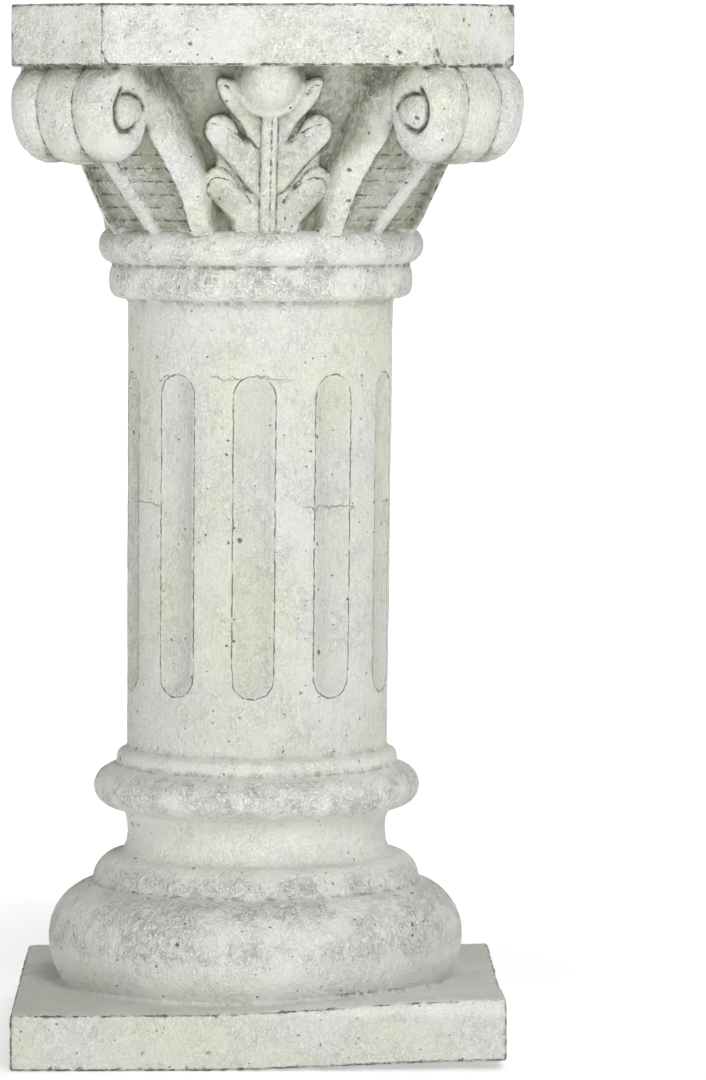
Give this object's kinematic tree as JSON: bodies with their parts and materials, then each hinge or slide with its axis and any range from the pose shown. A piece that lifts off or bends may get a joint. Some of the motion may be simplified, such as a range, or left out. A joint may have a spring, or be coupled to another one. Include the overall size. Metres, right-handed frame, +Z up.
{
  "type": "column pedestal",
  "caption": "Short fluted column pedestal with a square plinth, a turned base, a leafed capital with corner scrolls and a flat top for a pot or statue.",
  "frame": {"origin": "centre of the plinth's underside", "axes": "+Z up through the column, -Y out of the front face, +X to the right seen from the front"},
  "size_m": [0.3489, 0.3489, 0.71],
  "materials": {
    "cast_stone": "matt whitewashed cast stone, with grey in its creases and pits"
  },
  "bodies": {
    "root": {"column_pedestal": "cast_stone"}
  },
  "joints": []
}
